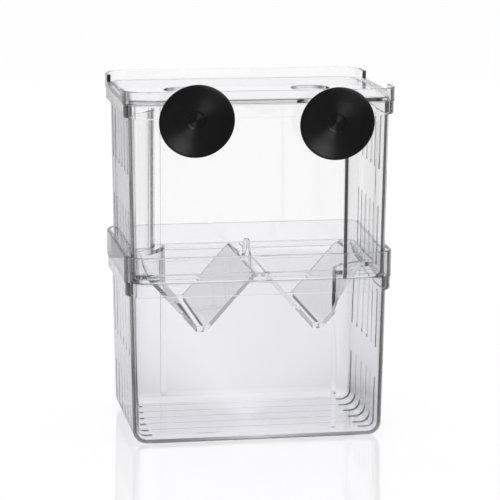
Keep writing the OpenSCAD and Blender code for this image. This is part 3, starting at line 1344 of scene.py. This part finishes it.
@dataclass(kw_only=True)
class SuctionCup(Moulding):
    """A suction cup whose button sits behind the wall and whose skirt faces forward.

    The axis is given where it meets the face of the upper box's band, the rim is how far the
    tipped skirt may stand in front of that face, and the grip what the neck passes through. The
    soft neck lets the skirt slide to the right, lift, and nod down in degrees. The bell and the
    dish bend the skirt's back and front, each by a share of the radius, a rise and a rounding.
    """

    slot: str = "black_rubber"
    sharp: float = 50.0
    axis: Vector
    rim: float
    radius: float
    grip: float
    slide: float
    lift: float
    nod: float
    neck: float = 3.55 * MM
    button: float = 4.8 * MM
    button_depth: float = 2.4 * MM
    button_round: float = 1.2 * MM
    play: float = 0.3 * MM
    washer: float = 1.6 * MM
    washer_width: float = 1.65 * MM
    root_width: float = 0.8 * MM
    root_round: float = 1 * MM
    skin: float = 1.3 * MM
    bell: Triple = (0.6, 0.5 * MM, 8 * MM)
    dish: Triple = (0.62, 0.75 * MM, 14 * MM)
    hollow: float = 2.4 * MM
    lip: float = 0.5 * MM
    nub: float = 3.85 * MM
    nub_slope: float = 0.5 * MM
    nub_rise: float = 0.3 * MM
    nub_dent: float = 0.1 * MM
    edge_round: float = 0.4 * MM
    fine_round: float = 0.3 * MM
    steps: int = 112

    @property
    def front(self) -> float:
        """How far the skirt's rim stands in front of the band before it is tipped."""
        return self.rim - self.radius * math.sin(math.radians(self.nod))

    def outline(self) -> list[Corner]:
        """Draws the section.

        Returns:
            The corners, from the button behind the wall round the skirt's rim.
        """
        behind = -self.grip - self.play
        hub = self.front - self.hollow
        back = hub - self.skin
        collar, root = self.neck + self.washer_width, self.neck + self.root_width
        turn, fine, lip = self.edge_round, self.fine_round, self.lip
        bell, dish = self.bell, self.dish
        return [
            Corner(0, behind - self.button_depth),
            Corner(self.button, behind - self.button_depth, self.button_round, 6),
            Corner(self.button, behind, lip),
            Corner(self.neck, behind, fine, 2),
            Corner(self.neck, self.play, fine, 2),
            Corner(collar, self.play, turn),
            Corner(collar, self.washer, turn),
            Corner(root, self.washer, fine, 2),
            Corner(root, back - turn, self.root_round, 4),
            Corner(self.radius * bell[0], back + bell[1], bell[2], 6),
            Corner(self.radius, self.front - self.skin, lip, 4),
            Corner(self.radius, self.front, lip, 4),
            Corner(self.radius - self.skin, self.front, lip, 3),
            Corner(self.radius * dish[0], hub + dish[1], dish[2], 8),
            Corner(self.nub + self.nub_slope, hub + self.nub_rise, lip, 3),
            Corner(self.nub, hub - self.nub_rise, turn, 3),
            Corner(0, hub - self.nub_dent),
        ]

    def model(self) -> Solid:
        """Turns the section round the cup's axis and bends the soft skirt.

        Returns:
            The bare cup.
        """
        pen = Pen(self.axis, X_AXIS, -Y_AXIS)
        piece = lathe(f"{self.node}_rubber", pen, self.outline(), self.steps)
        front = self.axis.y - self.washer

        def on_skirt(start: Vector, end: Vector) -> bool:
            """Says if an edge lies in front of the washer."""
            return max(start.y, end.y) < front - self.play

        enter_mesh(piece)
        pick(piece, on_skirt)
        pivot = self.axis - Y_AXIS * self.front
        nod = math.radians(self.nod)
        bpy.ops.transform.rotate(value=-nod, orient_axis="X", center_override=pivot)
        bpy.ops.transform.translate(value=X_AXIS * self.slide + Z_AXIS * self.lift)
        leave_mesh()
        return piece


# ---- studio


@dataclass(frozen=True)
class Lamp:
    """One square lamp."""

    name: str
    place: Triple
    aim: Triple
    size: float
    power: float

    def hang(self, only: Sequence[Solid] = ()) -> None:
        """Hangs the lamp.

        Args:
            only: The pieces that it lights, or none for all.
        """
        deselect_objects()
        place = Vector(self.place)
        turn = (Vector(self.aim) - place).to_track_quat("-Z", "Y").to_euler()
        bpy.ops.object.light_add(type="AREA", location=place, rotation=turn)
        lamp = bpy.context.object
        lamp.name = self.name
        lamp.data.shape = "SQUARE"
        lamp.data.size = self.size
        lamp.data.energy = self.power
        if only:
            lit = bpy.data.collections.new(f"{self.name}_lit")
            for piece in only:
                lit.objects.link(piece)
            lamp.light_linking.receiver_collection = lit


@dataclass
class Studio:
    """The pale floor, the soft lights, the grey screens of a bright field and the camera.

    The camera's yaw runs from +Y towards -X, its pitch upward, and all angles and the tones'
    bearings are in degrees. The lens and its sensor are in millimetres.
    """

    eye: Triple = (-0.193639, -1.124621, 0.3055)
    yaw: float = -9.862
    pitch: float = -10.93
    roll: float = 0.273
    lens: float = 172.64
    sensor: float = 36.0
    clip: Pair = (0.05, 60.0)
    floor_size: float = 14.0
    room_light: float = 1.03
    gap: float = 0.3 * MM
    screen_radius: float = 0.45
    screen_height: float = 0.5
    screen_tones: Pairs = (
        (-180, 0.1), (-110, 0.2), (-92, 0.3), (-82, 0.65), (-70, 0.5), (-60, 0.04), (48, 0.04),
        (60, 0.6), (68, 1.0), (92, 1.0), (99, 0.5), (112, 0.35), (120, 0.06), (180, 0.1),
    )
    under_tones: Pairs = (
        (-180, 0.05), (-140, 0.2), (-90, 0.6), (-45, 0.3), (0, 0.04), (45, 0.1), (66, 0.6),
        (90, 0.8), (104, 0.5), (118, 0.06), (180, 0.05),
    )
    card_low: Triple = (-0.2, 0.42, 0)
    card_high: Triple = (-0.1, 0.43, 0.35)
    card_tones: Pairs = ((-180, 0.52), (180, 0.52))
    softbox: Lamp = Lamp("top_softbox", (0, 0.1, 1.5), (0, 0, 0), size=1.6, power=3)
    gloss_lamp: Lamp = Lamp("gloss_lamp", (0.95, -0.8, 0.85), (0, 0, 0.15), size=1.2, power=85)
    mirror_bounces: int = 10
    most_bounces: int = 24

    def camera(self) -> None:
        """Adds the camera and makes it the scene's own."""
        turn = Matrix.Identity(3)
        for angle, axis in ((self.yaw, "Z"), (90 + self.pitch, "X"), (self.roll, "Z")):
            turn = turn @ Matrix.Rotation(math.radians(angle), 3, axis)
        deselect_objects()
        bpy.ops.object.camera_add(location=self.eye, rotation=turn.to_euler())
        camera = bpy.context.object
        camera.name = "camera"
        camera.data.lens = self.lens
        camera.data.sensor_width = self.sensor
        camera.data.clip_start, camera.data.clip_end = self.clip
        bpy.context.scene.camera = camera

    def floor(self) -> None:
        """Adds the plain pale floor."""
        deselect_objects()
        bpy.ops.mesh.primitive_plane_add(size=self.floor_size, location=(0, 0, -self.gap))
        floor = settle("floor")
        floor.data.materials.append(PaleFloor().make())

    def room(self) -> None:
        """Lights the whole room softly."""
        world = bpy.data.worlds.new("room")
        bpy.context.scene.world = world
        world.use_nodes = True
        sky = world.node_tree.nodes["Background"]
        sky.inputs["Color"].default_value = (1.0, 1.0, 1.0, 1)
        sky.inputs["Strength"].default_value = self.room_light

    def screens(self) -> None:
        """Stands the grey screens of a bright field round, under and behind the box."""
        deselect_objects()
        bpy.ops.mesh.primitive_cylinder_add(
            vertices=ROUND_STEPS, radius=self.screen_radius, depth=self.screen_height,
            end_fill_type="NOTHING", location=(0, 0, self.screen_height / 2 - self.gap / 2),
        )
        self.hide(settle("grey_screen"), MirroredGlow("screen_grey", self.screen_tones))
        deselect_objects()
        bpy.ops.mesh.primitive_circle_add(
            vertices=ROUND_STEPS, radius=self.screen_radius, fill_type="NGON",
            location=(0, 0, -self.gap / 2),
        )
        self.hide(settle("under_card"), MirroredGlow("under_grey", self.under_tones))
        card = block("left_card", Vector(self.card_low), Vector(self.card_high))
        self.hide(card, MirroredGlow("left_card_grey", self.card_tones, inside=False))

    def hide(self, screen: Solid, glow: MirroredGlow) -> None:
        """Leaves a screen to mirrored light alone, out of the picture and the soft light.

        Args:
            screen: The screen.
            glow: The glow that it gets.
        """
        screen.data.materials.append(glow.make())
        screen.visible_camera = False
        screen.visible_diffuse = False
        screen.visible_shadow = False

    def build(self, rubber: Sequence[Solid]) -> None:
        """Sets up the whole studio.

        Args:
            rubber: The pieces whose sheen has a lamp of its own.
        """
        scene = bpy.context.scene
        scene.view_settings.view_transform = "Standard"
        scene.cycles.blur_glossy = 0
        scene.cycles.glossy_bounces = self.mirror_bounces
        scene.cycles.transmission_bounces = scene.cycles.max_bounces = self.most_bounces
        self.floor()
        self.room()
        self.softbox.hang()
        self.gloss_lamp.hang(rubber)
        self.screens()
        self.camera()


# ---- the whole box

# How far each soft neck lets its skirt slide to the right, lift, and nod down in degrees.
CUP_SEATS = (
    ("suction_cup_left", 0.5 * MM, -0.6 * MM, 11.0),
    ("suction_cup_right", 0.6 * MM, -2.8 * MM, 9.5),
)


def main() -> None:
    """Builds every piece in order and then the studio."""
    logging.basicConfig(level=logging.INFO, format="%(name)s: %(message)s")
    lower_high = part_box("lower_box")[1]
    upper_low, upper_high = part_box("upper_box")
    insert_low, insert_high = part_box("insert")
    lid_low, lid_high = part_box("lid")
    reach = LowerBox.collar_reach
    plan = Plan(lower_high.x - reach, lower_high.y - reach, slot_reach=reach)

    lower = LowerBox(plan=plan, seat=upper_low.z, top=lower_high.z)
    lower.build(NURSERY_CLEAR.make())
    upper = UpperBox(plan=plan, foot=upper_low.z, seat=lid_low.z, top=upper_high.z)
    upper.build(SPAWNING_CLEAR.make())
    flange = upper_low.z + upper.lip_thickness
    insert = Insert(plan=plan, foot=insert_low.z, flange=flange, peg_top=insert_high.z)
    insert.build(INSERT_CLEAR.make())
    lid = Lid(plan=plan, seat=lid_low.z, top=lid_high.z, reach=lid_high.x - plan.half_x)
    lid.build(LID_CLEAR.make())

    rubber = BlackRubber().make()
    band_face = -plan.half_y - upper.band_reach
    grip = upper.band_reach - upper.wall_reach + upper.wall
    cups = []
    for node, slide, lift, nod in CUP_SEATS:
        low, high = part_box(node)
        cup = SuctionCup(
            node=node, axis=Vector(((low.x + high.x) / 2, band_face, (low.z + high.z) / 2)),
            rim=band_face - low.y, radius=(high.x - low.x) / 2, grip=grip,
            slide=slide, lift=lift, nod=nod,
        )
        cups.append(cup.build(rubber))

    Studio().build(cups)


if __name__ == "__main__":
    main()
